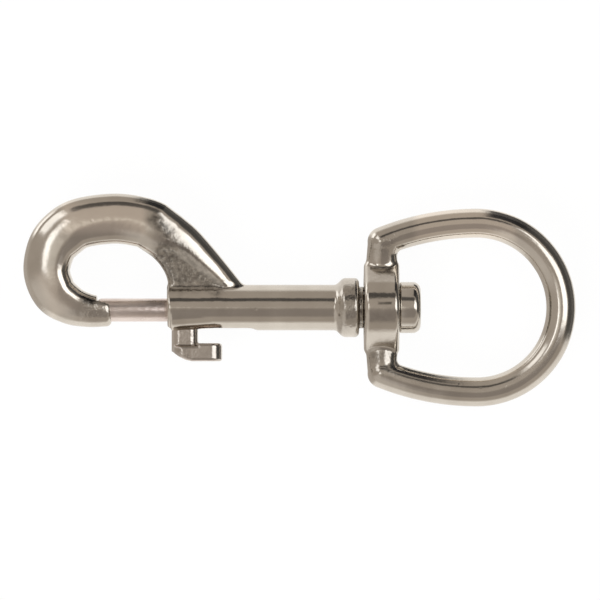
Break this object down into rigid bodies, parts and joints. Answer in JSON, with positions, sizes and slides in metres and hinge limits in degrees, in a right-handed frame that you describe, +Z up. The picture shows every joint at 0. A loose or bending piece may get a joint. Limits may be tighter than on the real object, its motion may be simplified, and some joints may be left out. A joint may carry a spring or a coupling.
{
  "type": "swivel snap hook",
  "caption": "Swivel snap hook: a cast hook closed by a spring bolt drawn back with a thumb knob, and a rounded eye that turns on a headed pin.",
  "frame": {"origin": "middle of the part's bounding box in X and Y, on the surface it lies on", "axes": "+X from the hook towards the swivel eye along the barrel, +Y towards the top of the hook and away from the thumb knob, +Z up out of the surface"},
  "size_m": [0.1004, 0.0388, 0.0131],
  "materials": {
    "cast_nickel": "bright nickel plate over a tumbled casting",
    "turned_nickel": "bright nickel plate over turned steel",
    "spring_steel": "drawn steel wire"
  },
  "bodies": {
    "body": {"hook_body": "cast_nickel", "swivel_pin": "turned_nickel", "bolt_spring": "spring_steel"},
    "bolt": {"bolt": "turned_nickel", "thumb_knob": "turned_nickel"},
    "eye": {"swivel_eye": "cast_nickel"}
  },
  "joints": [
    {"name": "bolt_slide", "type": "slide", "parent": "body", "child": "bolt", "axis": [1, 0, 0], "range_m": [0, 0.0105], "stiffness_N_per_m": 400, "springref_m": -0.006, "deforming": ["bolt_spring"]},
    {"name": "eye_swivel", "type": "hinge", "parent": "body", "child": "eye", "pos_m": [0.01493, -0.00139, 0.00655], "axis": [1, 0, 0], "continuous": true}
  ]
}
